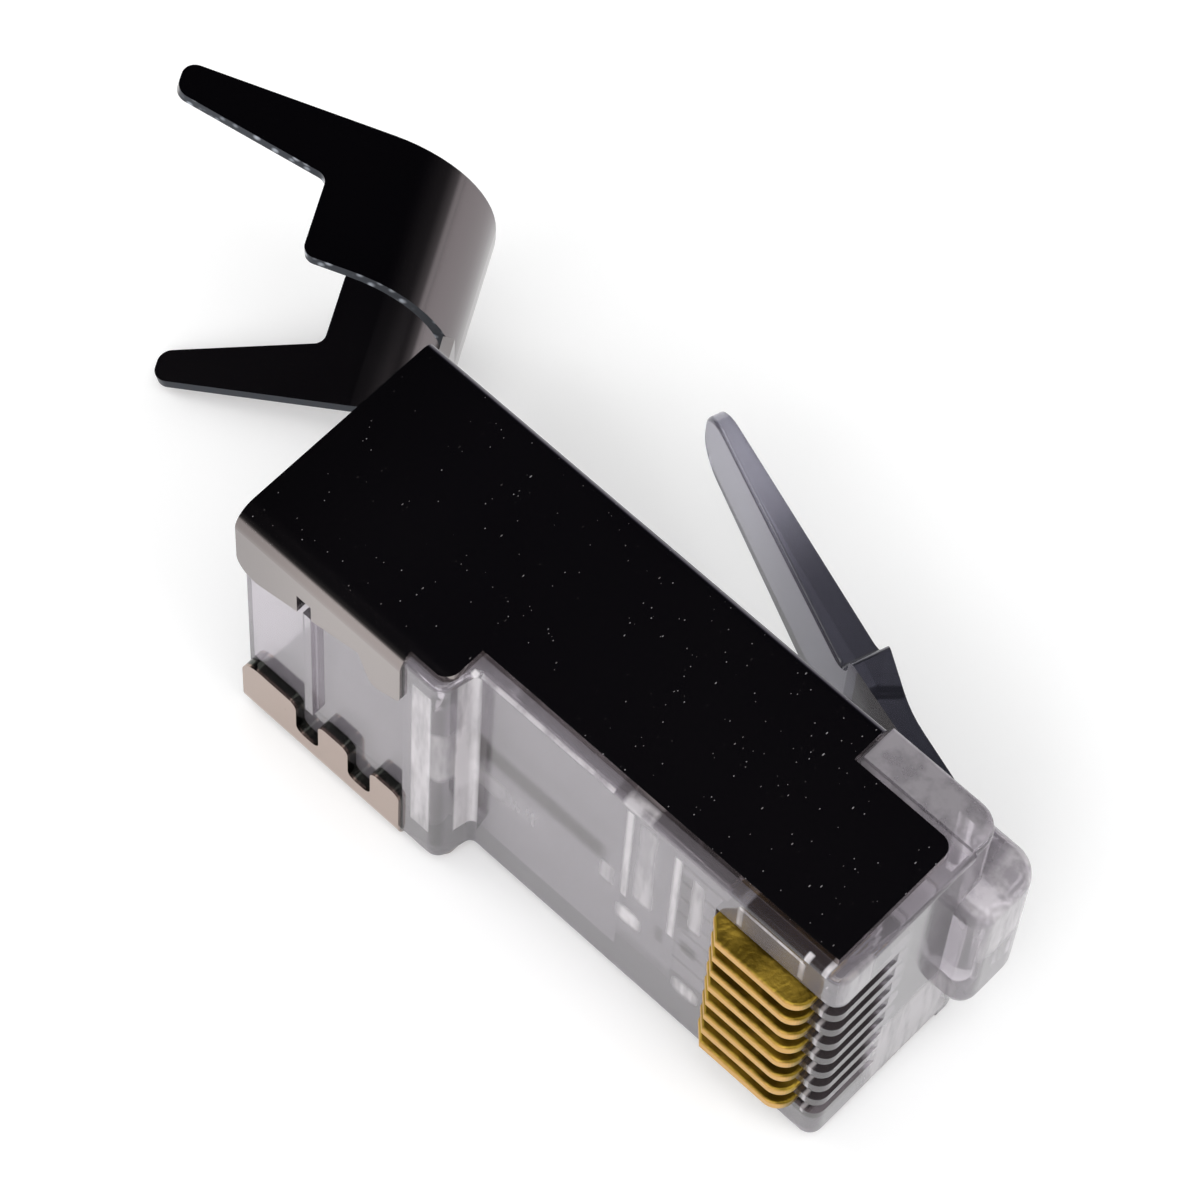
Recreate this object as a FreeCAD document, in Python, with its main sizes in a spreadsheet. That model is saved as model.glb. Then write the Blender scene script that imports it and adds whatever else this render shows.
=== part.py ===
# Shielded eight-contact modular plug, not yet wired, with an external cable claw.
#
# Millimetres. +X is the nose that enters the jack, +Y the latch side, -Y the contact side and
# +Z runs across the row of contacts. The plug lies on the side plate of its shield: Z = 0 is that
# plate's outer face, X = 0 the step where the thick rear block ends and the slim nose begins, and
# Y = 0 the middle of the nose's height.
import FreeCAD
import Part
import Sketcher
import math
import os

# Driving dimensions, all in millimetres or degrees, each written once.
DIMENSIONS = {
    # overall form
    "plug_width": 11.7,          # over both side plates
    "nose_height": 6.5,          # shield's latch wall to the contact face
    "nose_length": 13.6,         # step to front face
    "rear_length": 7.75,         # step to the shield's rear edge
    # shield, one folded sheet
    "sheet": 0.35,
    "fold_radius": 0.75,         # outside of the flaps' folds
    "wall_fold_radius": 0.45,    # outside of the latch wall's folds
    "rear_drop": 1.35,           # the rear flaps' face below the contact face
    "plate_setback": 0.45,       # the plate's nose edge, in from the contact face
    "plate_front": 0.55,         # the plate's nose end, back from the front face
    "wall_front": 4.2,           # the latch wall's nose end, back from the front face
    "notch_depth": 1.4,
    "ridge_cover": 0.28,         # the plate's edge over the ridge, in from the ridge's crest
    "plate_corner": 0.45,
    "cover_corner": 0.45,        # the plate's corner over the ridge
    "flap_reach": 3.3,           # the upper flap at its rear end, measured from its fold
    "flap_waist": 1.8,           # the same flap at its waist, beside the end lobe
    "flap_lobe": 1.6,            # length of the lobe
    "flap_lobe_slant": 0.5,
    "flap_lobe_reach": 3.1,
    "flap_lobe_end": 2.6,        # the lobe's reach at the ridge
    "flap_rib_notch": 0.55,      # width of the upper flap's notch, which the rib runs into
    "flap_rib_notch_top": 1.6,   # its top, measured from the fold
    "flap_reach_low": 2.9,
    "flap_notch": 0.9,           # width of the lower flap's two notches
    "flap_notch_pitch": 2.1,
    "flap_notch_foot": 1.35,     # their foot, measured from the fold
    "flap_rear_corner": 0.7,
    "flap_corner": 0.3,
    # claw, a flared channel on a neck bent up out of the cable's way
    "claw_angle": 61.0,          # bend of the neck, up from straight back
    "neck_length": 2.5,
    "neck_width": 3.4,
    "neck_bend": 0.35,           # inside radius of the neck's bend
    "claw_length": 4.75,         # along the cable
    "claw_radius": 3.95,         # outside of the claw's two bends
    "claw_flat": 0.5,            # flat strip between the two bends
    "wing_turn": 77.8,           # turn of each bend, short of square, so the wings flare
    "finger_reach": 6.4,         # straight wing from the bend to the fingertip
    "tab_reach": 1.5,            # straight wing from the bend to the short tab's end
    "finger_root": 2.05,
    "finger_tip": 1.05,
    "finger_round": 0.45,
    "finger_root_round": 0.35,
    # housing
    "ridge_length": 1.4,
    "ridge_height": 1.2,         # crest below the contact face
    "ridge_draft": 0.25,
    "ridge_round": 0.45,
    "step_round": 0.25,
    "nose_round": 0.45,
    "front_round": 0.2,
    "land_rise": 0.15,           # plastic beside the latch root, proud of the latch wall
    "land_flush": 0.2,           # the same plastic, proud of the sides that the plates cover
    "land_inset": 0.3,           # its edge, out from the bottom of the plate's notch
    "land_edge": 0.9,            # its front corner
    "edge_round": 0.15,
    "side_wall": 0.85,
    "contact_wall": 0.7,
    "latch_wall": 0.9,
    "cable_depth": 7.45,         # cable mouth, from the rear edge
    "cable_round": 1.2,
    "wire_depth": 13.4,          # end of the flat chamber for the wires, from the rear edge
    "wire_height": 4.2,
    "comb_depth": 15.3,          # end of the shallow comb entry, from the rear edge
    "comb_height": 2.3,
    "channel_end": 1.1,          # blind end of the wire channels, back from the front face
    "channel_width": 0.86,
    "channel_height": 0.9,
    "rear_rib_place": 2.65,      # rib between the flaps, from the rear edge
    "rear_rib_width": 0.3,
    "rear_rib_height": 0.25,
    "rear_rib_top": 2.6,         # its upper end, measured from the upper flap's fold
    # contacts
    "contact_pitch": 1.02,
    "contact_count": 8,
    "contact_sheet": 0.4,
    "contact_length": 3.55,
    "contact_front": 0.75,       # contact's front edge, back from the front face
    "contact_proud": 0.7,        # crown above the contact face before it is driven home
    "contact_body": 1.9,         # crown to the root of the tines
    "contact_tine": 1.15,
    "tine_width": 0.55,
    "contact_round": 0.6,
    "contact_slope": 0.5,        # the rear corner's bevel
    "contact_edge": 0.09,        # rounding of the crown's two long edges
    "slot_width": 0.6,
    "slot_depth": 1.15,
    "slot_rise": 2.5,            # the slots' run up the front face
    "slot_front_depth": 0.7,
    "slot_clearance": 0.1,
    "tine_clearance": 0.02,
    # latch
    "latch_width": 6.1,
    "latch_tail_width": 3.9,     # 1 mm inside the shoulders
    "latch_tip_width": 2.7,      # 1 mm beyond the tip
    "root_front": 1.0,           # latch root, ahead of the front face
    "root_length": 2.55,
    "root_rise": 1.15,           # its crown above the latch wall
    "root_drop": 1.6,            # its foot below the latch wall
    "root_round": 1.0,
    "root_edge": 0.6,
    "hinge_rise": 0.65,          # living hinge above the latch wall
    "hinge_radius": 0.28,
    "hinge_clearance": 0.03,
    "arm_bend_back": 3.2,        # place of the arm's bend, back from the hinge
    "arm_bend_rise": 1.25,
    "arm_bend_round": 5.0,
    "shoulder_back": 5.1,        # catch shoulders, back from the hinge
    "shoulder_rise": 2.45,
    "shoulder_thickness": 1.25,
    "shoulder_round": 0.3,
    "tail_back": 14.3,           # tip of the tail, back from the hinge
    "tail_rise": 5.65,
    "tail_thickness": 0.45,
    "tail_round": 1.2,
    "tail_root_round": 0.75,
    "tail_edge": 0.14,
}

doc = FreeCAD.newDocument("modular_plug")
sheet_of_sizes = doc.addObject("Spreadsheet::Sheet", "Dims")
for row, (alias, number) in enumerate(DIMENSIONS.items(), start=1):
    sheet_of_sizes.set(f"A{row}", str(number))
    sheet_of_sizes.setAlias(f"A{row}", alias)
doc.recompute()


class Size:
    """A length or angle: its number, and the spreadsheet expression that gives the same number."""

    def __init__(self, value, text):
        self.value = float(value)
        self.text = text

    def __add__(self, other):
        other = as_size(other)
        return Size(self.value + other.value, f"({self.text} + {other.text})")

    def __sub__(self, other):
        other = as_size(other)
        return Size(self.value - other.value, f"({self.text} - {other.text})")

    def __mul__(self, other):
        other = as_size(other)
        return Size(self.value * other.value, f"({self.text} * {other.text})")

    def __truediv__(self, other):
        other = as_size(other)
        return Size(self.value / other.value, f"({self.text} / {other.text})")

    def __neg__(self):
        return Size(-self.value, f"(0 - {self.text})")


def as_size(number):
    return number if isinstance(number, Size) else Size(number, repr(float(number)))


def sine(angle):
    return Size(math.sin(math.radians(angle.value)), f"sin({angle.text})")


def cosine(angle):
    return Size(math.cos(math.radians(angle.value)), f"cos({angle.text})")


def tangent(angle):
    return Size(math.tan(math.radians(angle.value)), f"tan({angle.text})")


def dim(alias):
    return Size(DIMENSIONS[alias], f"Dims.{alias}")


def check(feature):
    broken = [state for state in feature.State if state in ("Invalid", "Error")]
    if broken:
        raise RuntimeError(f"{feature.Label}: {feature.State}")


def new_body(label):
    body = doc.addObject("PartDesign::Body", label)
    body.Label = label
    return body


def origin_feature(body, role):
    return next(item for item in body.Origin.OriginFeatures if item.Role == role)


def sketch_on(body, role, name, offset=None, turn=None):
    """A sketch on one of the body's own origin planes.

    offset holds the sketch's shift along its own x, y and normal, and turn an angle about its y.
    """
    sketch = body.newObject("Sketcher::SketchObject", name)
    sketch.AttachmentSupport = [(origin_feature(body, role), "")]
    sketch.MapMode = "FlatFace"
    if turn is not None:
        rotation = FreeCAD.Rotation(FreeCAD.Vector(0, 1, 0), turn.value)
        sketch.AttachmentOffset = FreeCAD.Placement(FreeCAD.Vector(), rotation)
        sketch.setExpression(".AttachmentOffset.Rotation.Angle", turn.text)
    for axis, shift in zip("xyz", offset or ()):
        sketch.setExpression(f".AttachmentOffset.Base.{axis}", as_size(shift).text)
    return sketch


def draw(sketch, corners, arcs=None, half_circle=None):
    """A closed outline through corners, each held by its two sizes.

    arcs gives the radius of each side that is an arc, by the number of the corner it starts at:
    a positive radius bulges to the right of the way round, a negative one to the left. The side
    numbered half_circle is a half circle that bulges to the right.
    """
    arcs = arcs or {}
    corners = [(as_size(x), as_size(y)) for x, y in corners]
    count = len(corners)
    first = sketch.GeometryCount
    for index, (x, y) in enumerate(corners):
        end_x, end_y = corners[(index + 1) % count]
        start = FreeCAD.Vector(x.value, y.value, 0)
        end = FreeCAD.Vector(end_x.value, end_y.value, 0)
        half = (end - start) * 0.5
        if index in arcs or index == half_circle:
            radius = arcs[index].value if index in arcs else half.Length
            height = abs(radius) - math.sqrt(max(radius * radius - half.Length ** 2, 0))
            right = FreeCAD.Vector(half.y, -half.x, 0).normalize()
            top = start + half + right * math.copysign(height, radius)
            line = Part.Arc(start, top, end) if radius > 0 else Part.Arc(end, top, start)
        else:
            line = Part.LineSegment(start, end)
        sketch.addGeometry(line, False)
    turned = {index for index, radius in arcs.items() if radius.value < 0}
    for index, (x, y) in enumerate(corners):
        following = (index + 1) % count
        end_point = 1 if index in turned else 2
        next_point = 2 if following in turned else 1
        sketch.addConstraint(Sketcher.Constraint(
            "Coincident", first + index, end_point, first + following, next_point))
        hold(sketch, "DistanceX", first + index, 3 - end_point, x)
        hold(sketch, "DistanceY", first + index, 3 - end_point, y)
    for index, radius in arcs.items():
        hold_radius(sketch, first + index, radius if radius.value > 0 else -radius)
    if half_circle is not None:
        hold(sketch, "DistanceX", first + half_circle, 3, corners[half_circle][0])


def draw_box(sketch, low_x, low_y, high_x, high_y, radius):
    """A rectangle with four round corners."""
    draw(sketch, [
        (low_x + radius, low_y),
        (high_x - radius, low_y),
        (high_x, low_y + radius),
        (high_x, high_y - radius),
        (high_x - radius, high_y),
        (low_x + radius, high_y),
        (low_x, high_y - radius),
        (low_x, low_y + radius),
    ], arcs={1: radius, 3: radius, 5: radius, 7: radius})


def draw_circle(sketch, x, y, radius):
    circle = Part.Circle(FreeCAD.Vector(x.value, y.value, 0), FreeCAD.Vector(0, 0, 1), radius.value)
    index = sketch.addGeometry(circle, False)
    hold(sketch, "DistanceX", index, 3, x)
    hold(sketch, "DistanceY", index, 3, y)
    hold_radius(sketch, index, radius)


def hold_radius(sketch, index, radius):
    number = sketch.addConstraint(Sketcher.Constraint("Radius", index, radius.value))
    sketch.setExpression(f"Constraints[{number}]", radius.text)


def hold(sketch, kind, side, point, size):
    number = sketch.addConstraint(Sketcher.Constraint(kind, -1, 1, side, point, size.value))
    sketch.setExpression(f"Constraints[{number}]", size.text)


def pad(body, sketch, length, reverse=False):
    feature = body.newObject("PartDesign::Pad", f"{sketch.Name}_pad")
    feature.Profile = sketch
    feature.Reversed = reverse
    feature.setExpression("Length", as_size(length).text)
    return feature


def pocket(body, sketch, length, reverse=False):
    """Cuts length deep along the sketch's normal, or against it when reverse is set."""
    doc.recompute()
    before = body.Shape.Volume
    feature = body.newObject("PartDesign::Pocket", f"{sketch.Name}_pocket")
    feature.Profile = sketch
    feature.Reversed = not reverse
    feature.setExpression("Length", as_size(length).text)
    doc.recompute()
    if body.Shape.Volume > before - 1e-4:
        raise RuntimeError(f"{feature.Name} removes nothing")
    return feature


def slab(body, name, corners, low, thickness, cut=False):
    """An outline in X and Y, raised from Z = low by thickness, or cut out of the body."""
    sketch = sketch_on(body, "XY_Plane", name, (0, 0, low))
    draw(sketch, corners)
    make = pocket if cut else pad
    return make(body, sketch, thickness)


def row_of(body, feature, pitch, count):
    """Repeats a feature along +Z."""
    pattern = body.newObject("PartDesign::LinearPattern", f"{feature.Name}_row")
    pattern.Originals = [feature]
    pattern.Direction = (origin_feature(body, "Z_Axis"), [""])
    pattern.setExpression("Length", (pitch * (count - 1)).text)
    pattern.setExpression("Occurrences", count.text)
    body.Tip = pattern
    return pattern


def round_edges(body, name, radius, middles):
    """Rounds the edges of the body that pass through the given points."""
    doc.recompute()
    base = body.Tip
    names = []
    for middle in middles:
        spot = Part.Vertex(FreeCAD.Vector(*[as_size(part).value for part in middle]))
        gaps = [edge.distToShape(spot)[0] for edge in base.Shape.Edges]
        nearest = min(range(len(gaps)), key=gaps.__getitem__)
        if gaps[nearest] > 0.01:
            raise RuntimeError(f"{name}: no edge passes through {middle}")
        names.append(f"Edge{nearest + 1}")
    feature = body.newObject("PartDesign::Fillet", name)
    feature.Base = (base, sorted(set(names)))
    feature.setExpression("Radius", as_size(radius).text)
    doc.recompute()
    check(feature)
    return feature


# Places that several pieces share.
width = dim("plug_width")
sheet = dim("sheet")
middle_z = width / 2
x_rear = -dim("rear_length")
x_front = dim("nose_length")
y_latch = dim("nose_height") / 2
y_contact = -y_latch
y_flap = y_contact - dim("rear_drop")
y_crest = y_contact - dim("ridge_height")
x_ridge = -dim("ridge_length")
x_wall = x_front - dim("wall_front")
x_plate = x_front - dim("plate_front")
y_notch = y_latch - dim("notch_depth")
plastic_width = width - sheet * 2
fold_inside = dim("fold_radius") - sheet
wall_fold_inside = dim("wall_fold_radius") - sheet
x_hinge = x_front + dim("root_front") - dim("root_length")
y_hinge = y_latch + dim("hinge_rise")
first_contact_z = middle_z - dim("contact_pitch") * (dim("contact_count") - 1) / 2
x_contact_front = x_front - dim("contact_front")
x_contact_rear = x_contact_front - dim("contact_length")
y_crown = y_contact - dim("contact_proud")
y_tine_root = y_crown + dim("contact_body")
y_slot = y_contact + dim("slot_depth")


def make_housing():
    """The clear moulding: rear block, ridge, nose, latch root, cavities and contact slots."""
    body = new_body("housing")
    y_plastic = y_latch - sheet
    y_block = y_flap + sheet
    slab(body, "block", [
        (x_rear, y_plastic),
        (x_rear, y_block),
        (x_ridge, y_block),
        (x_ridge, y_crest),
        (0, y_crest),
        (dim("ridge_draft"), y_contact),
        (x_front, y_contact),
        (x_front, y_plastic),
    ], sheet, plastic_width)
    sides = (sheet, width - sheet)
    round_edges(body, "block_folds", fold_inside, [(x_rear + 1, y_block, z) for z in sides])
    round_edges(body, "wall_side_folds", wall_fold_inside, [(0, y_plastic, z) for z in sides])
    round_edges(body, "ridge_edge", dim("ridge_round"), [(0, y_crest, middle_z)])
    round_edges(body, "step_corner", dim("step_round"), [(dim("ridge_draft"), y_contact, middle_z)])
    add_land(body)
    add_latch_root(body)
    round_edges(body, "nose_edge", dim("nose_round"), [(x_front, y_contact, middle_z)])
    round_edges(body, "nose_sides", dim("front_round"), [(x_front, 0, z) for z in sides])
    add_rear_rib(body, y_block)
    hollow_out(body, y_plastic, y_block)
    cut_contact_slots(body)
    return body


def add_land(body):
    """The plastic that shows in the plates' notches, beside the latch root."""
    rise = dim("land_rise")
    low = sheet - dim("land_flush")
    y_low = y_notch + dim("land_inset")
    gap = dim("slot_clearance")
    slab(body, "land", [
        (x_wall + gap, y_low),
        (x_front, y_low),
        (x_front, y_latch + rise),
        (x_wall + gap, y_latch + rise),
    ], low, width - low * 2)
    round_edges(body, "land_front", dim("land_edge"), [(x_front, y_latch + rise, middle_z)])
    round_edges(body, "land_sides", dim("edge_round"), [
        (x_wall + 1, y_latch + rise, z) for z in (low, width - low)
    ])


def add_latch_root(body):
    """The rounded block that carries the latch, with a half-round seat for its living hinge."""
    low = middle_z - dim("latch_width") / 2
    x_root = x_front + dim("root_front")
    y_top = y_latch + dim("root_rise")
    y_foot = y_latch - dim("root_drop")
    x_inside = x_front - dim("root_front")
    slab(body, "latch_root", [
        (x_hinge, y_latch),
        (x_inside, y_foot),
        (x_root, y_foot),
        (x_root, y_top),
        (x_hinge, y_top),
    ], low, dim("latch_width"))
    round_edges(body, "root_crown", dim("root_round"), [(x_root, y_top, middle_z)])
    round_edges(body, "root_foot", dim("root_edge"), [(x_root, y_foot, middle_z)])
    round_edges(body, "root_sides", dim("root_edge"), [
        (x_root, y_latch, z) for z in (low, low + dim("latch_width"))
    ])
    seat = sketch_on(body, "XY_Plane", "hinge_seat", (0, 0, low - 1))
    draw_circle(seat, x_hinge, y_hinge, dim("hinge_radius") + dim("hinge_clearance"))
    pocket(body, seat, dim("latch_width") + 2)


def add_rear_rib(body, y_block):
    """A low rib on the rear block, between the shield's two flaps."""
    centre = x_rear + dim("rear_rib_place")
    half = dim("rear_rib_width") / 2
    low = dim("flap_reach_low") + dim("slot_clearance")
    high = width - dim("rear_rib_top")
    slab(body, "rear_rib", [
        (centre - half, y_block + sheet),
        (centre - half, y_block - dim("rear_rib_height")),
        (centre + half, y_block - dim("rear_rib_height")),
        (centre + half, y_block + sheet),
    ], low, high - low)


def hollow_out(body, y_plastic, y_block):
    """The cable's mouth, the flat wire chamber, the comb entry and eight wire channels."""
    z_low = sheet + dim("side_wall")
    z_high = width - z_low
    y_low = y_block + dim("contact_wall")
    y_high = y_plastic - dim("latch_wall")
    mouth = sketch_on(body, "YZ_Plane", "cable_mouth", (0, 0, x_rear))
    draw_box(mouth, y_low, z_low, y_high, z_high, dim("cable_round"))
    pocket(body, mouth, dim("cable_depth"))
    steps = (("wire_chamber", dim("cable_depth"), dim("wire_depth"), dim("wire_height")),
             ("comb_entry", dim("wire_depth"), dim("comb_depth"), dim("comb_height")))
    for name, start, end, height in steps:
        chamber = sketch_on(body, "YZ_Plane", name, (0, 0, x_rear + start))
        high = y_high if name == "wire_chamber" else height / 2
        draw(chamber, [(high - height, z_low), (high, z_low), (high, z_high), (high - height, z_high)])
        pocket(body, chamber, end - start)
    start = x_rear + dim("comb_depth")
    half = dim("channel_width") / 2
    roof = y_tine_root + dim("contact_tine")
    floor = roof + dim("channel_height") - half
    channel = sketch_on(body, "YZ_Plane", "wire_channel", (0, 0, start))
    draw(channel, [
        (roof, first_contact_z - half),
        (floor, first_contact_z - half),
        (floor, first_contact_z + half),
        (roof, first_contact_z + half),
    ], half_circle=1)
    cut = pocket(body, channel, x_front - dim("channel_end") - start)
    row_of(body, cut, dim("contact_pitch"), dim("contact_count"))


def cut_contact_slots(body):
    """Eight slots for the jack's springs, each with a close slit below for the contact's tines."""
    gap = dim("slot_clearance")
    outside = y_contact - dim("contact_proud")
    x_outside = x_front + dim("contact_proud")
    y_rise = y_contact + dim("slot_rise")
    slot = slab(body, "contact_slot", [
        (x_contact_rear - gap, outside),
        (x_outside, outside),
        (x_outside, y_rise),
        (x_front, y_rise),
        (x_front - dim("slot_front_depth"), y_slot + gap),
        (x_front - dim("slot_front_depth"), y_slot),
        (x_contact_rear - gap, y_slot),
    ], first_contact_z - dim("slot_width") / 2, dim("slot_width"), cut=True)
    row_of(body, slot, dim("contact_pitch"), dim("contact_count"))
    close = dim("tine_clearance")
    slit_width = dim("contact_sheet") + close * 2
    y_roof = y_tine_root + dim("contact_tine")
    slit = slab(body, "tine_slit", [
        (x_contact_rear - close, y_slot - close),
        (x_contact_front + close, y_slot - close),
        (x_contact_front + close, y_roof + close),
        (x_contact_rear - close, y_roof + close),
    ], first_contact_z - slit_width / 2, slit_width, cut=True)
    row_of(body, slit, dim("contact_pitch"), dim("contact_count"))


def make_contact(number):
    """One stamped contact: a rounded crown for the jack's spring and three piercing tines."""
    body = new_body(f"contact_{number}")
    low = first_contact_z + dim("contact_pitch") * (number - 1) - dim("contact_sheet") / 2
    tine = dim("tine_width")
    space = (dim("contact_length") - tine * 3) / 2
    y_tip = y_tine_root + dim("contact_tine")
    corners = [
        (x_contact_rear, y_crown + dim("contact_slope")),
        (x_contact_rear + dim("contact_slope"), y_crown),
        (x_contact_front, y_crown),
    ]
    for step in (2, 1, 0):
        start = x_contact_rear + (tine + space) * step
        if step < 2:
            corners.append((start + tine, y_tine_root))
        corners += [
            (start + tine, y_tip - tine / 2),
            (start + tine / 2, y_tip),
            (start, y_tip - tine / 2),
        ]
        if step > 0:
            corners.append((start, y_tine_root))
    sketch = sketch_on(body, "XY_Plane", f"contact_outline_{number}", (0, 0, low))
    draw(sketch, corners)
    pad(body, sketch, dim("contact_sheet"))
    high = low + dim("contact_sheet")
    round_edges(body, f"contact_crown_{number}", dim("contact_round"), [
        (x_contact_front, y_crown, (low + high) / 2)
    ])
    half_slope = dim("contact_slope") / 2
    round_edges(body, f"contact_edges_{number}", dim("contact_edge"), [
        (x_contact_rear + x, y, z)
        for x, y in ((dim("contact_length") / 2, y_crown), (half_slope, y_crown + half_slope))
        for z in (low, high)
    ])
    return body


def make_latch():
    """The latch: hinge bead, arm, catch shoulders and the long tail that a finger presses."""
    body = new_body("latch_lever")
    wide_low = middle_z - dim("latch_width") / 2
    tail_low = middle_z - dim("latch_tail_width") / 2
    radius = dim("hinge_radius")
    x_bend = x_hinge - dim("arm_bend_back")
    y_bend = y_hinge + dim("arm_bend_rise")
    x_shoulder = x_hinge - dim("shoulder_back")
    y_shoulder = y_hinge + dim("shoulder_rise")
    thick = dim("shoulder_thickness")
    run = dim("tail_back") - dim("shoulder_back")
    climb = dim("tail_rise") - dim("shoulder_rise")
    slope = Size(math.degrees(math.atan2(climb.value, run.value)), f"atan({(climb / run).text})")
    x_under = x_shoulder - thick * sine(slope)
    y_under = y_shoulder - thick * cosine(slope)
    x_tip = x_hinge - dim("tail_back")
    y_tip = y_hinge + dim("tail_rise")
    thin = dim("tail_thickness")
    slab(body, "latch_tail", [
        (x_shoulder, y_shoulder),
        (x_tip, y_tip),
        (x_tip - thin * sine(slope), y_tip - thin * cosine(slope)),
        (x_under, y_under),
    ], tail_low, dim("latch_tail_width"))
    lean = (dim("latch_tail_width") - dim("latch_tip_width")) / 2
    taper = sketch_on(body, "XZ_Plane", "tail_taper", (0, 0, -y_tip - 1))
    for side in (-1, 1):
        z_root = middle_z + dim("latch_tail_width") / 2 * side
        draw(taper, [
            (x_shoulder + 1, z_root),
            (x_tip - 1, z_root - lean * side),
            (x_tip - 1, z_root + side),
            (x_shoulder + 1, z_root + side),
        ])
    pocket(body, taper, y_tip + 1 - y_hinge)
    x_end = x_tip - thin * sine(slope) / 2
    y_end = y_tip - thin * cosine(slope) / 2
    reach = x_shoulder - x_tip + 2
    end_low = tail_low + lean * (x_shoulder + 1 - x_end) / reach
    round_edges(body, "tail_end", dim("tail_round"), [
        (x_end, y_end, z) for z in (end_low, width - end_low)
    ])
    x_belly = (x_shoulder + x_tip - (thick + thin) * sine(slope)) / 2
    y_belly = (y_shoulder + y_tip - (thick + thin) * cosine(slope)) / 2
    round_edges(body, "tail_edges", dim("tail_edge"), [
        (x_belly, y_belly, tail_low + lean * (x_shoulder + 1 - x_belly) / reach)
    ])
    slab(body, "latch_arm", [
        (x_hinge, y_hinge - radius),
        (x_hinge, y_hinge + radius),
        (x_bend, y_bend),
        (x_shoulder, y_shoulder),
        (x_under, y_under),
    ], wide_low, dim("latch_width"))
    bead = sketch_on(body, "XY_Plane", "hinge_bead", (0, 0, wide_low))
    draw_circle(bead, x_hinge, y_hinge, radius)
    pad(body, bead, dim("latch_width"))
    round_edges(body, "arm_sweep", dim("arm_bend_round"), [(x_bend, y_bend, middle_z)])
    x_step = (x_shoulder + x_under) / 2
    y_step = (y_shoulder + y_under) / 2
    step_low = tail_low + lean * (x_shoulder + 1 - x_step) / reach
    round_edges(body, "shoulders", dim("shoulder_round"), [
        (x_step, y_step, z) for z in (wide_low, width - wide_low)
    ])
    round_edges(body, "tail_roots", dim("tail_root_round"), [
        (x_step, y_step, z) for z in (step_low, width - step_low)
    ])
    return body


def make_shield():
    """The shield, one folded sheet: side plates, latch wall, rear flaps, neck and claw."""
    body = new_body("shield")
    y_edge = y_contact + dim("plate_setback")
    y_cover = y_crest + dim("ridge_cover")
    slab(body, "plates", [
        (x_rear, y_latch),
        (x_rear, y_flap),
        (x_ridge, y_flap),
        (x_ridge, y_cover),
        (0, y_cover),
        (0, y_edge),
        (x_plate, y_edge),
        (x_plate, y_notch),
        (x_wall, y_notch),
        (x_wall, y_latch),
    ], 0, width)
    slab(body, "between_plates", [
        (x_rear - 1, y_flap - 1),
        (x_front, y_flap - 1),
        (x_front, y_latch - sheet),
        (x_rear - 1, y_latch - sheet),
    ], sheet, plastic_width, cut=True)
    round_edges(body, "plate_corners", dim("plate_corner"), [
        (x_plate, y_notch, z) for z in (sheet / 2, width - sheet / 2)
    ])
    round_edges(body, "cover_corners", dim("cover_corner"), [
        (0, y_cover, z) for z in (sheet / 2, width - sheet / 2)
    ])
    add_flaps(body)
    add_neck(body)
    add_claw(body)
    folds = (
        ("flap_folds", y_flap, y_flap + sheet, fold_inside, dim("fold_radius")),
        ("wall_folds", y_latch, y_latch - sheet, wall_fold_inside, dim("wall_fold_radius")),
    )
    for name, outer, inner, inside, outside in folds:
        round_edges(body, f"{name}_inside", inside, [
            (x_rear + 1, inner, z) for z in (sheet, width - sheet)
        ])
        round_edges(body, f"{name}_outside", outside, [
            (x_rear + 1, outer, z) for z in (0, width)
        ])
    return body


def add_flaps(body):
    """Two flaps folded in over the rear block, with the punched openings that the crimp uses."""
    corner = dim("flap_corner")
    rib_x = x_rear + dim("rear_rib_place")
    x_lobe = x_ridge - dim("flap_lobe")
    x_lobe_tip = x_lobe + dim("flap_lobe_slant")
    z_reach = width - dim("flap_reach")
    z_lobe = width - dim("flap_lobe_reach")
    z_lobe_end = width - dim("flap_lobe_end")
    upper = sketch_on(body, "XZ_Plane", "upper_flap", (0, 0, -y_flap))
    draw(upper, [
        (x_rear, width),
        (x_rear, z_reach),
        (x_lobe, width - dim("flap_waist")),
        (x_lobe_tip, z_lobe),
        (x_ridge, z_lobe_end),
        (x_ridge, width),
    ])
    pad(body, upper, sheet, reverse=True)
    lower = sketch_on(body, "XZ_Plane", "lower_flap", (0, 0, -y_flap))
    z_low = dim("flap_reach_low")
    draw(lower, [(x_rear, 0), (x_rear, z_low), (x_ridge, z_low), (x_ridge, 0)])
    pad(body, lower, sheet, reverse=True)
    notches = sketch_on(body, "XZ_Plane", "flap_notches", (0, 0, -y_flap + 1))
    foot = dim("flap_notch_foot")
    top = width - dim("flap_rib_notch_top")
    cuts = (
        (rib_x, dim("flap_notch") / 2, foot, z_low + 1),
        (rib_x + dim("flap_notch_pitch"), dim("flap_notch") / 2, foot, z_low + 1),
        (rib_x, dim("flap_rib_notch") / 2, z_reach, top),
    )
    for centre, half, low, high in cuts:
        draw(notches, [
            (centre - half, high),
            (centre - half, low),
            (centre + half, low),
            (centre + half, high),
        ])
    pocket(body, notches, sheet + 1.5, reverse=True)
    y_half = y_flap + sheet / 2
    round_edges(body, "flap_rear_corners", dim("flap_rear_corner"), [
        (x_rear, y_half, z) for z in (z_reach, z_low)
    ])
    round_edges(body, "flap_notch_corners", corner, [
        (centre + dim("flap_notch") / 2 * side, y_half, z)
        for centre in (rib_x, rib_x + dim("flap_notch_pitch"))
        for side in (-1, 1)
        for z in (z_low, foot)
    ])
    round_edges(body, "flap_corners", corner, [
        (x_ridge, y_half, z_low),
        (x_ridge, y_half, z_lobe_end),
        (x_lobe_tip, y_half, z_lobe),
    ])


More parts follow.
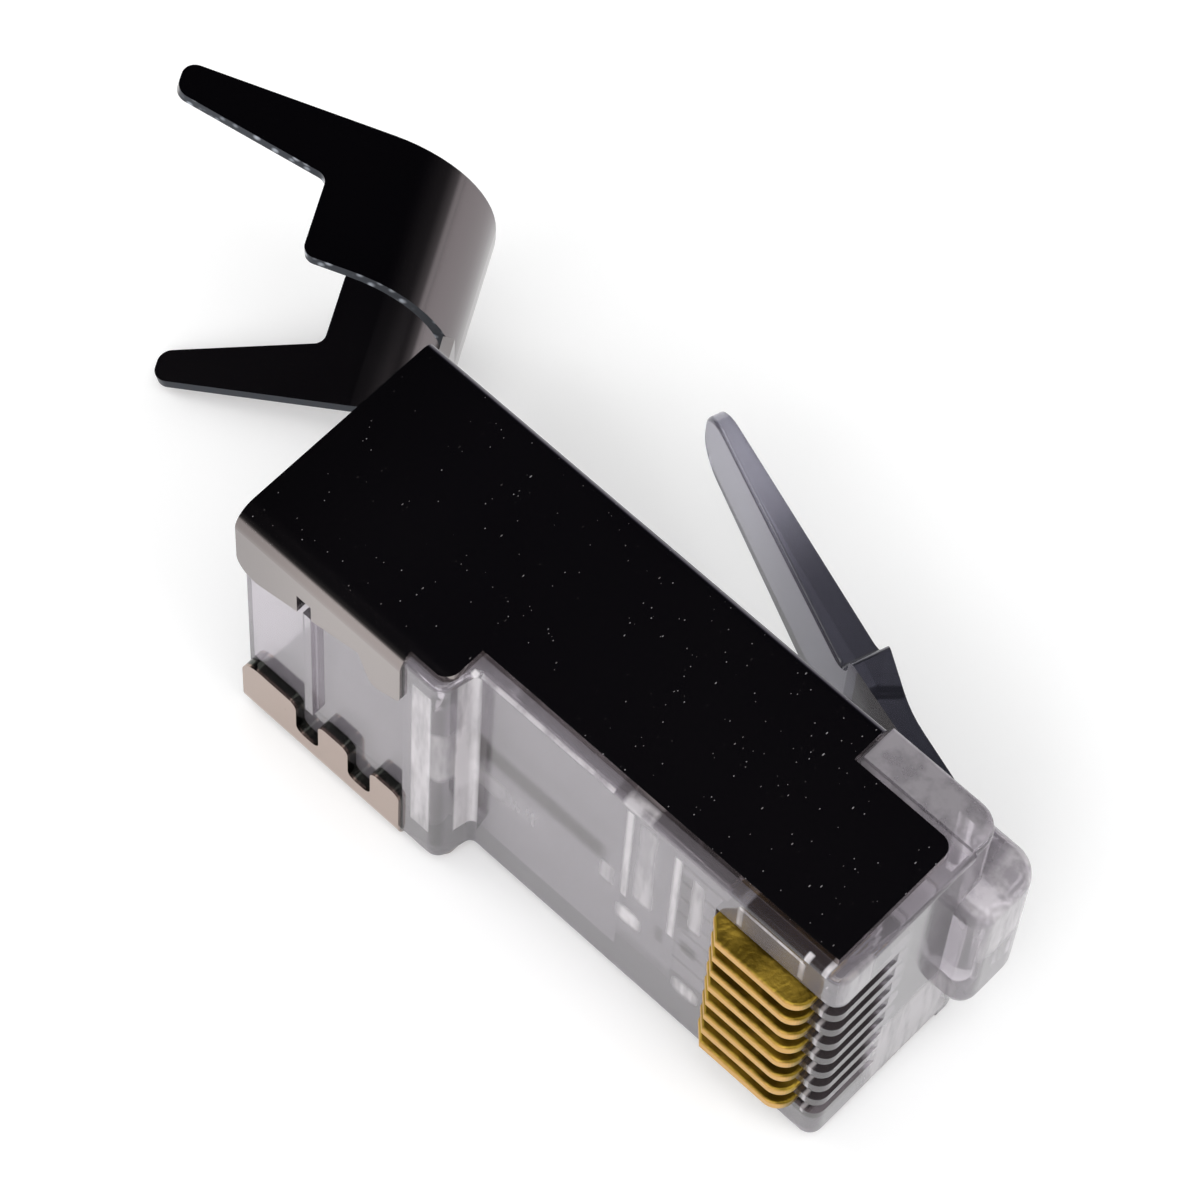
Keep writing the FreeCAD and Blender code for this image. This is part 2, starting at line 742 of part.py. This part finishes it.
def add_neck(body):
    """The strip that joins the latch wall to the claw, bent up from the cable's line."""
    angle = dim("claw_angle")
    reach = dim("neck_length")
    x_end = x_rear - reach * cosine(angle)
    y_end = y_latch + reach * sine(angle)
    x_inner = x_rear - sheet * tangent(angle / 2)
    slab(body, "neck", [
        (x_rear + 1, y_latch - sheet),
        (x_rear + 1, y_latch),
        (x_rear, y_latch),
        (x_end, y_end),
        (x_end - sheet * sine(angle), y_end - sheet * cosine(angle)),
        (x_inner, y_latch - sheet),
    ], middle_z - dim("neck_width") / 2, dim("neck_width"))
    round_edges(body, "neck_bend_in", dim("neck_bend"), [(x_rear, y_latch, middle_z)])
    round_edges(body, "neck_bend_out", dim("neck_bend") + sheet, [
        (x_inner, y_latch - sheet, middle_z)
    ])


def claw_place(along, inwards):
    """X and Y of a point of the claw: along the cable from the body, and in from its base."""
    angle = dim("claw_angle")
    x = x_rear - along * cosine(angle) - inwards * sine(angle)
    y = y_latch + along * sine(angle) - inwards * cosine(angle)
    return (x, y)


def add_claw(body):
    """The claw: a channel with flared wings, each cut to one long finger and one short tab."""
    turn = dim("wing_turn")
    outer = dim("claw_radius")
    inner = outer - sheet
    half_flat = dim("claw_flat") / 2
    reach = dim("finger_reach")
    near = dim("neck_length")
    start_x, start_y = claw_place(near, as_size(0))
    upward = as_size(180) - dim("claw_angle")
    channel = sketch_on(body, "YZ_Plane", "claw_channel", (start_y, middle_z, start_x), upward)
    bend_in = outer * (as_size(1) - cosine(turn))
    bend_out = half_flat + outer * sine(turn)
    inner_in = outer - inner * cosine(turn)
    inner_out = half_flat + inner * sine(turn)
    tip_in = bend_in + reach * sine(turn)
    tip_out = bend_out + reach * cosine(turn)
    under_in = inner_in + reach * sine(turn)
    under_out = inner_out + reach * cosine(turn)
    draw(channel, [
        (tip_in, tip_out),
        (bend_in, bend_out),
        (0, half_flat),
        (0, -half_flat),
        (bend_in, -bend_out),
        (tip_in, -tip_out),
        (under_in, -under_out),
        (inner_in, -inner_out),
        (sheet, -half_flat),
        (sheet, half_flat),
        (inner_in, inner_out),
        (under_in, under_out),
    ], arcs={1: outer, 3: outer, 7: -inner, 9: -inner})
    pad(body, channel, dim("claw_length"))
    far = near + dim("claw_length")
    root = dim("finger_root")
    tip = dim("finger_tip")
    tab_in = bend_in + dim("tab_reach") * sine(turn)
    tab_out = bend_out + dim("tab_reach") * cosine(turn) - sheet / sine(turn) / 2
    mid_in = (tip_in + under_in) / 2
    mid_out = (tip_out + under_out) / 2
    wings = (
        ("upper_wing", middle_z, middle_z + mid_out, middle_z + tab_out,
         near - 1, near, far - root, far - tip, far),
        ("lower_wing", as_size(-1), middle_z - mid_out, middle_z - tab_out,
         far + 1, far, near + root, near + tip, near),
    )
    for name, low, z_tip, z_tab, beyond, tab_edge, at_root, at_tip, edge in wings:
        slab(body, name, [
            claw_place(beyond, tab_in),
            claw_place(at_root, tab_in),
            claw_place(at_tip * 2 - at_root, mid_in * 2 - tab_in),
            claw_place(beyond, mid_in * 2 - tab_in),
        ], low, middle_z + 1, cut=True)
        round_edges(body, f"{name}_tip", dim("finger_round"), [
            (*claw_place(at_tip, mid_in), z_tip),
            (*claw_place(edge, mid_in), z_tip),
        ])
        round_edges(body, f"{name}_root", dim("finger_root_round"), [
            (*claw_place(at_root, tab_in), z_tab),
            (*claw_place(tab_edge, tab_in), z_tab),
        ])


bodies = [make_housing(), make_latch(), make_shield()]
bodies += [make_contact(number) for number in range(1, DIMENSIONS["contact_count"] + 1)]
doc.recompute()
for feature in doc.Objects:
    check(feature)
os.makedirs("parts", exist_ok=True)
for body in bodies:
    if body.Shape.isNull() or not body.Shape.isValid() or len(body.Shape.Solids) != 1:
        raise RuntimeError(f"{body.Label} is not one valid solid")
for body in bodies:
    body.Shape.exportStep(os.path.join("parts", f"{body.Label}.step"))
    print(body.Label, round(body.Shape.Volume, 3), body.Shape.BoundBox)
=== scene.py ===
import math

import bpy
from mathutils import Matrix, Vector

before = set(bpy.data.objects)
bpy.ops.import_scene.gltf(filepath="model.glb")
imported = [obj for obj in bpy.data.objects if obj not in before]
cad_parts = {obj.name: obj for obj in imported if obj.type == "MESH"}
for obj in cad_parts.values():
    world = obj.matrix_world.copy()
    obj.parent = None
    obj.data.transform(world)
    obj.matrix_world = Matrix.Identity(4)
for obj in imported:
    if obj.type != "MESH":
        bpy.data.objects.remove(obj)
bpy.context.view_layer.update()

# ---------------------------------------------------------------------------------------------
# Shield: one sheet of copper alloy 0.35 mm thick, stamped, folded round the moulding and plated
# bright nickel. Handling leaves specks and fine scratches on it, except on the claw, whose sheared
# edges are dark, with painted glints on their burrs. The rear, the claw, the far fold and the lower
# flap's back are painted darker as painted shade, and the neck's sides pale as painted light.
# ---------------------------------------------------------------------------------------------
mm_per_metre = 1000


class Wire:
    """One output of a shader node; arithmetic on it adds the Math nodes that work it out."""

    def __init__(self, finish, output):
        self.finish = finish
        self.output = output

    def math(self, operation, *values):
        inputs = dict(enumerate(values))
        return self.finish.node("Math", {"operation": operation}, inputs)

    def size(self):
        return self.math("ABSOLUTE", self)

    def sibling(self, output):
        """Another output of the same node."""
        return Wire(self.finish, self.output.node.outputs[output])

    def __add__(self, other):
        return self.math("ADD", self, other)

    def __radd__(self, other):
        return self.math("ADD", other, self)

    def __sub__(self, other):
        return self.math("SUBTRACT", self, other)

    def __rsub__(self, other):
        return self.math("SUBTRACT", other, self)

    def __mul__(self, other):
        return self.math("MULTIPLY", self, other)

    def __rmul__(self, other):
        return self.math("MULTIPLY", other, self)

    def over(self, low, high):
        """0 at low and 1 at high, a smooth climb between them and level beyond; low may be larger."""
        inputs = {"Value": self, "From Min": low, "From Max": high}
        return self.finish.node("MapRange", {"interpolation_type": "SMOOTHSTEP"}, inputs)


class Finish:
    """One material or world: its shader and whatever feeds it."""

    def __init__(self, material, shader="Principled BSDF"):
        self.material = material
        self.material.use_nodes = True
        self.tree = self.material.node_tree
        self.shader = self.tree.nodes[shader]
        self.place = self.node("TexCoord", output="Object")

    def node(self, kind, settings=None, inputs=None, output=0):
        """A node of this kind, with its own settings, then its sockets' values or links."""
        made = self.tree.nodes.new("ShaderNode" + kind)
        for name, value in (settings or {}).items():
            setattr(made, name, value)
        for name, value in (inputs or {}).items():
            self.feed(made.inputs[name], value)
        return Wire(self, made.outputs[output])

    def feed(self, socket, value):
        if isinstance(value, Wire):
            self.tree.links.new(value.output, socket)
        else:
            socket.default_value = value

    def set(self, **sockets):
        """Values or links of the shader's sockets, named with underscores for spaces."""
        for name, value in sockets.items():
            self.feed(self.shader.inputs[name.replace("_", " ")], value)

    def part(self, vector, axis):
        """The X, Y or Z part of a vector."""
        return self.node("SeparateXYZ", {}, {"Vector": vector}, output=axis)

    def mm_along(self, axis):
        """The place along an axis, in millimetres."""
        return self.part(self.place, axis) * mm_per_metre

    def normal(self):
        return self.node("NewGeometry", output="True Normal")

    def facing(self, axis):
        """1 where the surface faces along an axis, and -1 where it faces the other way."""
        return self.part(self.normal(), axis)

    def noise(self, scale, detail, place=None):
        inputs = {"Vector": place or self.place, "Scale": scale, "Detail": detail}
        return self.node("TexNoise", {}, inputs)

    def mix(self, factor, low, high):
        """Colour low where factor is 0 and high where it is 1; 6, 7 and output 2 are the colours."""
        inputs = {"Factor": factor, 6: low, 7: high}
        return self.node("Mix", {"data_type": "RGBA"}, inputs, output=2)

    def vector(self, operation, *values, output=0):
        inputs = dict(enumerate(values))
        return self.node("VectorMath", {"operation": operation}, inputs, output)

    def zone(self, low, high, soft):
        """1 inside a box given by two corners in millimetres, falling to 0 over soft outside it."""
        centre = [(start + stop) / 2 / mm_per_metre for start, stop in zip(low, high)]
        half = [(stop - start) / 2 / mm_per_metre for start, stop in zip(low, high)]
        reach = self.vector("ABSOLUTE", self.vector("SUBTRACT", self.place, centre))
        beyond = self.vector("MAXIMUM", self.vector("SUBTRACT", reach, half), (0, 0, 0))
        return self.vector("LENGTH", beyond, output="Value").over(soft / mm_per_metre, 0)

    def zones(self, rows):
        """The sum of zones, each a row of its two corners, soft edge and strength."""
        total = 0.0
        for low, high, soft, strength in rows:
            total = total + self.zone(low, high, soft) * strength
        return total

    def blend(self, factor, **sockets):
        """Lays a second Principled shader over the first where factor is 1."""
        inputs = {name.replace("_", " "): value for name, value in sockets.items()}
        second = self.node("BsdfPrincipled", {}, inputs)
        first = Wire(self, self.shader.outputs[0])
        both = self.node("MixShader", {}, {0: factor, 1: first, 2: second})
        self.feed(self.tree.nodes["Material Output"].inputs["Surface"], both)

    def seen(self):
        """1 for rays from the camera and for those that metal and clear plastic send on."""
        camera, glossy, transmission = (
            self.node("LightPath", output=f"Is {kind} Ray")
            for kind in ("Camera", "Glossy", "Transmission")
        )
        return camera + glossy + transmission

    def bump(self, height, depth):
        return self.node("Bump", {}, {"Height": height, "Distance": depth})


def dress(name, finish):
    """Gives a solid this finish and no other."""
    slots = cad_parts[name].data.materials
    slots.clear()
    slots.append(finish.material)


nickel = Finish(bpy.data.materials.new("nickel_plate"))
along = nickel.mm_along("X")

# The neck and the claw are behind the body, whose rear is at about -8 mm.
on_body = along.over(-8.2, -7.8)
front_half = along.over(-2, 6)

# Specks and scratches: four layers of cells, of which a few hold a mark, more towards the front.
speck_layers = (
    # cells in a metre, turn, stretch, radius of a mark, share of the cells that stay empty
    (2200.0, 0.0, 1.0, 0.03, 0.94),
    (5200.0, 0.6, 0.35, 0.06, 0.86),
    (5700.0, -0.9, 0.4, 0.06, 0.86),
    (8400.0, 0.2, 0.7, 0.08, 0.78),
)
specks = 0.0
for scale, turn, stretch, radius, empty in speck_layers:
    turned = nickel.node("Mapping", {}, {
        "Vector": nickel.place,
        "Rotation": (0, 0, turn),
        "Scale": (scale, scale * stretch, scale),
    })
    cells = nickel.node("TexVoronoi", {"feature": "F1"}, {"Vector": turned, "Scale": 1.0})
    drawn = nickel.node("SeparateColor", {}, {"Color": cells.sibling("Color")})
    present = (drawn + front_half * 0.05).over(empty, 1.05)
    specks = specks + (1 - cells.over(radius, radius * 2)) * present
specks = (specks * on_body).over(0.0, 1.0)
haze = nickel.noise(120.0, 4.0)

# The neck is bent up by 61 degrees, and the claw's sheared edges face along that line.
claw_axis = (-0.485, 0.875, 0.0)
along_claw = nickel.vector("DOT_PRODUCT", nickel.normal(), claw_axis, output="Value")
cut_edges = along_claw.size().over(0.5, 0.7) * (1 - on_body)
burr_cells = nickel.node("TexVoronoi", {"feature": "F1"}, {"Vector": nickel.place, "Scale": 2600.0})
upper_claw = nickel.zone((-20, 3, 5.85), (-7, 10, 11.7), 0.1)
# The burrs on the claw's upper sheared edges are bumped and painted bright: painted glints.
burrs_and_glints = (1 - burr_cells.over(0.1, 0.42)) * upper_claw
neck = nickel.zone((-9.6, 3.9, 2.0), (-7.7, 6.4, 9.5), 0.05)
# The neck's faces turned along Z are painted pale grey and matte instead of mirror-bright: painted
# light.
neck_painted_light = nickel.facing("Z").size().over(0.6, 0.9) * neck
lower_flap = nickel.zone((-7.8, -5.0, 0.0), (-1.2, -4.5, 4.0), 0.1)
# The lower flap's inner face and cut edges are painted dark: painted shade.
flap_back_painted_shade = nickel.zone((-7.6, -4.48, 0.5), (-1.3, -4.0, 11.1), 0.06)
# A dark line painted along the fold at the upper plate's far edge: a painted dark reflection.
painted_reflection_fold = nickel.zone((-7.75, 2.95, 11.42), (9.4, 3.30, 11.80), 0.04)

rear_painted_shade = (0.21, 0.185, 0.18, 1)
front_nickel = (0.30, 0.265, 0.255, 1)
warm_nickel = (0.38, 0.29, 0.245, 1)
shaded_nickel = (0.075, 0.08, 0.07, 1)
painted_reflection_dark = (0.05, 0.045, 0.06, 1)
claw_painted_shade = (0.165, 0.145, 0.15, 1)
speck_grey = (0.36, 0.355, 0.37, 1)
edge_dark = (0.035, 0.04, 0.05, 1)
painted_glint_bright = (0.40, 0.43, 0.48, 1)
neck_painted_light_grey = (0.30, 0.28, 0.28, 1)

# Darker towards the rear of the body: painted shade.
colour = nickel.mix(along.over(-8, -3.5), rear_painted_shade, front_nickel)
colour = nickel.mix(lower_flap, colour, warm_nickel)
colour = nickel.mix(flap_back_painted_shade, colour, shaded_nickel)
colour = nickel.mix(painted_reflection_fold, colour, painted_reflection_dark)
# The claw and neck are painted darker than the body: painted shade.
colour = nickel.mix(on_body, claw_painted_shade, colour)
colour = nickel.mix(specks, colour, speck_grey)
colour = nickel.mix(cut_edges, colour, nickel.mix(burrs_and_glints, edge_dark, painted_glint_bright))
nickel.set(
    Base_Color=nickel.mix(neck_painted_light, colour, neck_painted_light_grey),
    Metallic=1 - specks * 0.5 - neck_painted_light,
    Roughness=haze * 0.05 + specks * 0.5 + cut_edges * 0.25 + neck_painted_light * 0.5 + 0.09,
    Normal=nickel.bump(haze * 0.3 + burrs_and_glints * cut_edges * 8, 0.000002),
)
dress("shield", nickel)

# ---------------------------------------------------------------------------------------------
# Housing and latch: one clear polycarbonate moulding, polished by its mould. The housing is a pale
# violet grey, with painted light and painted shade on its outside: frosted pale zones with streaks
# and glints, and dark zones, that stand for light bent in its hollows. The latch has painted shade
# and
# light: darkest at its root, paler towards its tail, and dark on its faces turned along Z.
# ---------------------------------------------------------------------------------------------
# A row is two corners in millimetres, a soft edge and a strength. The rows are places on a plug of
# this size: they are not worked out from the model's sizes, and have to be set again if they change.
# Painted light: pale frosted patches, streaked and with small glints, laid over the clear plastic.
frosted_painted_light_zones = (
    # the ridge: its crest, the foot of its front side and a patch above that
    ((-1.02, -4.60, 1.9), (-0.40, -4.35, 10.5), 0.10, 0.85),
    ((-0.10, -3.85, 1.9), (0.40, -3.30, 11.1), 0.10, 0.90),
    ((-0.10, -4.40, 5.8), (0.30, -3.85, 8.2), 0.50, 0.45),
    # the rim beside the upper plate
    ((0.40, -3.35, 11.20), (5.3, -3.18, 11.50), 0.05, 0.60),
    ((5.80, -3.35, 11.20), (6.6, -2.95, 11.50), 0.20, 0.60),
    ((-0.95, -3.75, 11.20), (-0.80, -3.60, 11.50), 0.08, 1.00),
    ((0.16, -3.36, 11.20), (0.26, -3.26, 11.50), 0.08, 1.00),
    ((12.28, -3.35, 11.20), (12.40, -3.05, 11.50), 0.07, 1.00),
    ((12.90, -3.35, 11.20), (13.00, -2.60, 11.50), 0.07, 1.00),
    ((9.60, 2.10, 11.30), (13.4, 3.60, 11.70), 0.20, 0.20),
    # the front face and the latch's root
    ((13.50, -0.70, 0.9), (13.70, 2.00, 4.0), 0.80, 0.55),
    ((13.50, -3.10, 9.9), (13.70, -2.00, 11.3), 0.20, 0.35),
    ((13.90, 2.30, 6.3), (14.60, 4.10, 8.9), 0.80, 0.55),
    # the contact face over the wire chamber and the comb
    ((0.30, -3.35, 5.0), (2.40, -3.15, 5.4), 0.85, 0.22),
    ((5.25, -3.35, 5.7), (5.50, -3.15, 6.5), 0.35, 0.30),
    ((5.96, -3.35, 5.6), (6.03, -3.15, 10.9), 0.15, 0.80),
    ((6.10, -3.35, 4.2), (6.40, -3.15, 4.6), 0.45, 0.90),
    ((6.60, -3.35, 6.2), (6.75, -3.15, 10.6), 0.45, 0.55),
    ((7.73, -3.35, 5.6), (7.80, -3.15, 10.6), 0.15, 0.80),
    ((8.52, -3.35, 7.2), (8.60, -3.15, 10.1), 0.30, 0.50),
    ((8.35, -3.35, 2.7), (8.70, -3.15, 3.0), 0.45, 0.95),
    # the frame beside contact_8, and the tops of the fins
    ((9.96, -3.35, 9.9), (10.06, -3.15, 11.0), 0.09, 0.80),
    ((12.18, -3.35, 9.9), (12.28, -3.15, 10.9), 0.09, 0.80),
    ((10.0, -3.35, 10.90), (12.2, -3.15, 11.00), 0.08, 0.80),
    ((13.08, -3.35, 1.8), (13.12, -3.05, 9.7), 0.08, 0.80),
)
# Painted shade: dark zones where the clear plastic's tint turns dark.
shaded_zones = (
    # the contact face over the wire chamber, beside the ridge and between the comb's edges
    ((0.30, -3.35, 6.90), (4.90, -3.15, 7.30), 0.65, 0.85),
    ((0.26, -3.35, 3.2), (0.50, -3.15, 7.6), 0.50, 0.60),
    ((7.35, -3.35, 4.7), (7.45, -3.15, 5.4), 0.20, 0.60),
    ((8.05, -3.35, 6.8), (8.30, -3.15, 10.0), 0.25, 0.50),
    ((8.30, -3.35, 5.4), (8.60, -3.15, 5.8), 0.30, 0.80),
    # the ridge's front edge and the rim beside the upper plate
    ((-0.30, -4.50, 1.2), (-0.05, -4.20, 10.8), 0.12, 0.50),
    ((5.40, -3.10, 11.20), (9.8, -2.60, 11.50), 0.15, 0.50),
    ((10.2, -3.30, 11.20), (12.9, -2.85, 11.50), 0.12, 1.00),
    ((10.3, -3.35, 11.12), (12.1, -3.15, 11.20), 0.08, 0.70),
    # the fins and the front face's lower edge
    ((12.85, -3.35, 1.7), (13.70, -1.20, 9.6), 0.15, 0.90),
    ((13.50, -0.90, 0.3), (13.70, 3.40, 1.4), 0.60, 0.40),
)


def polish(clear, tint, ripple):
    """Sets the polished plastic of a moulding, in this tint, with the slow ripple of its mould."""
    clear.set(
        Base_Color=tint,
        Roughness=ripple * 0.08 + 0.06,
        IOR=1.58,
        Transmission_Weight=0.78,
        Normal=clear.bump(ripple, 0.00002),
    )


deep_violet = (0.60, 0.55, 0.61, 1)
pale_violet = (0.76, 0.71, 0.77, 1)
painted_shade_dark = (0.13, 0.105, 0.11, 1)
painted_light_white = (0.86, 0.82, 0.85, 1)

housing = Finish(bpy.data.materials.new("clear_housing"))
ripple = housing.noise(90.0, 3.0)
violet = housing.mix(ripple, deep_violet, pale_violet)
tint = housing.mix(housing.zones(shaded_zones), violet, painted_shade_dark)
polish(housing, tint, ripple)

streak_scale = (1700.0, 1700.0, 280.0)
drawn_out = housing.node("Mapping", {}, {"Vector": housing.place, "Scale": streak_scale})
streaks = housing.noise(1.0, 3.0, drawn_out).over(0.32, 0.62)
# The frosted zones paint light on the housing: a paler, rougher, cloudier plastic laid over it in
# streaks.
housing.blend(
    housing.zones(frosted_painted_light_zones) * (streaks * 0.65 + 0.35),
    Base_Color=painted_light_white,
    Roughness=housing.noise(900.0, 2.0) * 0.2 + 0.3,
    IOR=1.58,
    Transmission_Weight=0.25,
)
dress("housing", housing)

tail_painted_light = (0.48, 0.47, 0.56, 1)
tail_grey = (0.22, 0.215, 0.275, 1)
root_painted_shade = (0.08, 0.08, 0.11, 1)
painted_shade_black = (0.05, 0.05, 0.065, 1)

latch = Finish(bpy.data.materials.new("clear_latch_lever"))
along = latch.mm_along("X")
# The latch's tint is painted light and shade: pale at its tail, dark at its root, and dark on the
# faces turned along Z near the tail.
tail = latch.mix(along.over(-0.5, 4), tail_painted_light, tail_grey)
tint = latch.mix(along.over(3, 11), tail, root_painted_shade)
painted_shade_faces = latch.facing("Z").over(0.6, 0.9) * along.over(0, 4)
tint = latch.mix(painted_shade_faces * 0.75, tint, painted_shade_black)
polish(latch, tint, latch.noise(90.0, 3.0))
dress("latch_lever", latch)

# ---------------------------------------------------------------------------------------------
# Contacts: stamped copper alloy with gold plate, standing above their slots until the crimp.
# The plate is dark and uneven on their blanked sides and an even, paler gold on their crowns.
# ---------------------------------------------------------------------------------------------
gold = Finish(bpy.data.materials.new("gold_plate"))
tone = gold.noise(700.0, 3.0)
pits = gold.noise(5200.0, 2.0)
crown = 0 - gold.facing("Y")

dark_gold = (0.25, 0.165, 0.02, 1)
bright_gold = (0.58, 0.39, 0.055, 1)
crown_gold = (0.62, 0.37, 0.11, 1)
blanked = gold.mix(tone.over(0.40, 0.66), dark_gold, bright_gold)
gold.set(
    Base_Color=gold.mix(crown.over(0.3, 0.8), blanked, crown_gold),
    Metallic=1.0,
    Roughness=tone * 0.20 + 0.30,
    Normal=gold.bump(tone * 0.7 + pits * 0.6, 0.00004),
)
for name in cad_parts:
    if name.startswith("contact_"):
        dress(name, gold)

# ---------------------------------------------------------------------------------------------
# Stage: a plain pale table in a room, white at the horizon and dark overhead, that shows only to
# the camera, in reflections and through clear plastic. Four soft lamps and an even grey light the
# plug.
# ---------------------------------------------------------------------------------------------
reach = 1.5
top = -1e-5  # a hair below the plug, so that no two faces share a plane
table_mesh = bpy.data.meshes.new("table")
table_mesh.from_pydata(
    [(-reach, -reach, top), (reach, -reach, top), (reach, reach, top), (-reach, reach, top)],
    [], [(0, 1, 2, 3)],
)
table = bpy.data.objects.new("table", table_mesh)
bpy.context.scene.collection.objects.link(table)

black = (0, 0, 0, 1)
white = (1, 1, 1, 1)
pale = Finish(bpy.data.materials.new("pale_table"))
pale.set(
    Base_Color=(0.90, 0.90, 0.90, 1),
    Roughness=0.9,
    Specular_IOR_Level=0.1,
    Emission_Color=pale.mix(pale.seen(), black, white),
    Emission_Strength=0.18,
)
table_mesh.materials.append(pale.material)

room = Finish(bpy.data.worlds.new("room"), "Background")
bpy.context.scene.world = room.material
height = room.part(room.node("TexCoord", output="Generated"), "Z")
wall = 1 - height.over(0.05, 0.12) * 0.76 - height.over(0.12, 0.30) * 0.19
wall = wall - height.over(0.30, 0.62) * 0.044
ceiling = (0, 0, 0.004, 1)
even_grey = (0.55, 0.55, 0.55, 1)
room.set(Color=room.mix(room.seen(), even_grey, room.mix(wall, ceiling, white)))


def direction(azimuth, elevation):
    """Unit vector at an azimuth, 0 towards -Y and 90 towards +X, and an elevation, in degrees."""
    turn = math.radians(azimuth)
    rise = math.radians(elevation)
    return Vector((
        math.sin(turn) * math.cos(rise),
        -math.cos(turn) * math.cos(rise),
        math.sin(rise),
    ))


def add_lamp(name, azimuth, elevation, distance, size, power):
    """A square lamp facing the plug, its place given by direction and distance in metres."""
    away = direction(azimuth, elevation)
    lamp = bpy.data.lights.new(name, "AREA")
    lamp.size = size
    lamp.energy = power
    holder = bpy.data.objects.new(name, lamp)
    turned = away.to_track_quat("Z", "Y").to_matrix().to_4x4()
    holder.matrix_world = Matrix.Translation(away * distance) @ turned
    bpy.context.scene.collection.objects.link(holder)


add_lamp("lamp_front", 15, 42, 0.5, 0.30, 0.8)
add_lamp("lamp_right", 95, 38, 0.5, 0.25, 0.4)
add_lamp("lamp_left", -75, 38, 0.5, 0.25, 0.4)
add_lamp("lamp_above", 60, 78, 0.5, 0.30, 0.5)

camera_place = Vector((0.04070, -0.04841, 0.13373))
azimuth = 38.895
elevation = 62.733
roll = math.radians(5.001)
back = direction(azimuth, elevation)
level = direction(azimuth + 90, 0)
upright = back.cross(level)
right = level * math.cos(roll) + upright * math.sin(roll)
above = upright * math.cos(roll) - level * math.sin(roll)
lens = bpy.data.cameras.new("camera")
lens.lens = 150.9
lens.sensor_width = 36
lens.clip_start = 0.01
camera = bpy.data.objects.new("camera", lens)
camera.matrix_world = Matrix((
    (right.x, above.x, back.x, camera_place.x),
    (right.y, above.y, back.y, camera_place.y),
    (right.z, above.z, back.z, camera_place.z),
    (0, 0, 0, 1),
))
bpy.context.scene.collection.objects.link(camera)
bpy.context.scene.camera = camera
bpy.context.scene.view_settings.view_transform = "Standard"
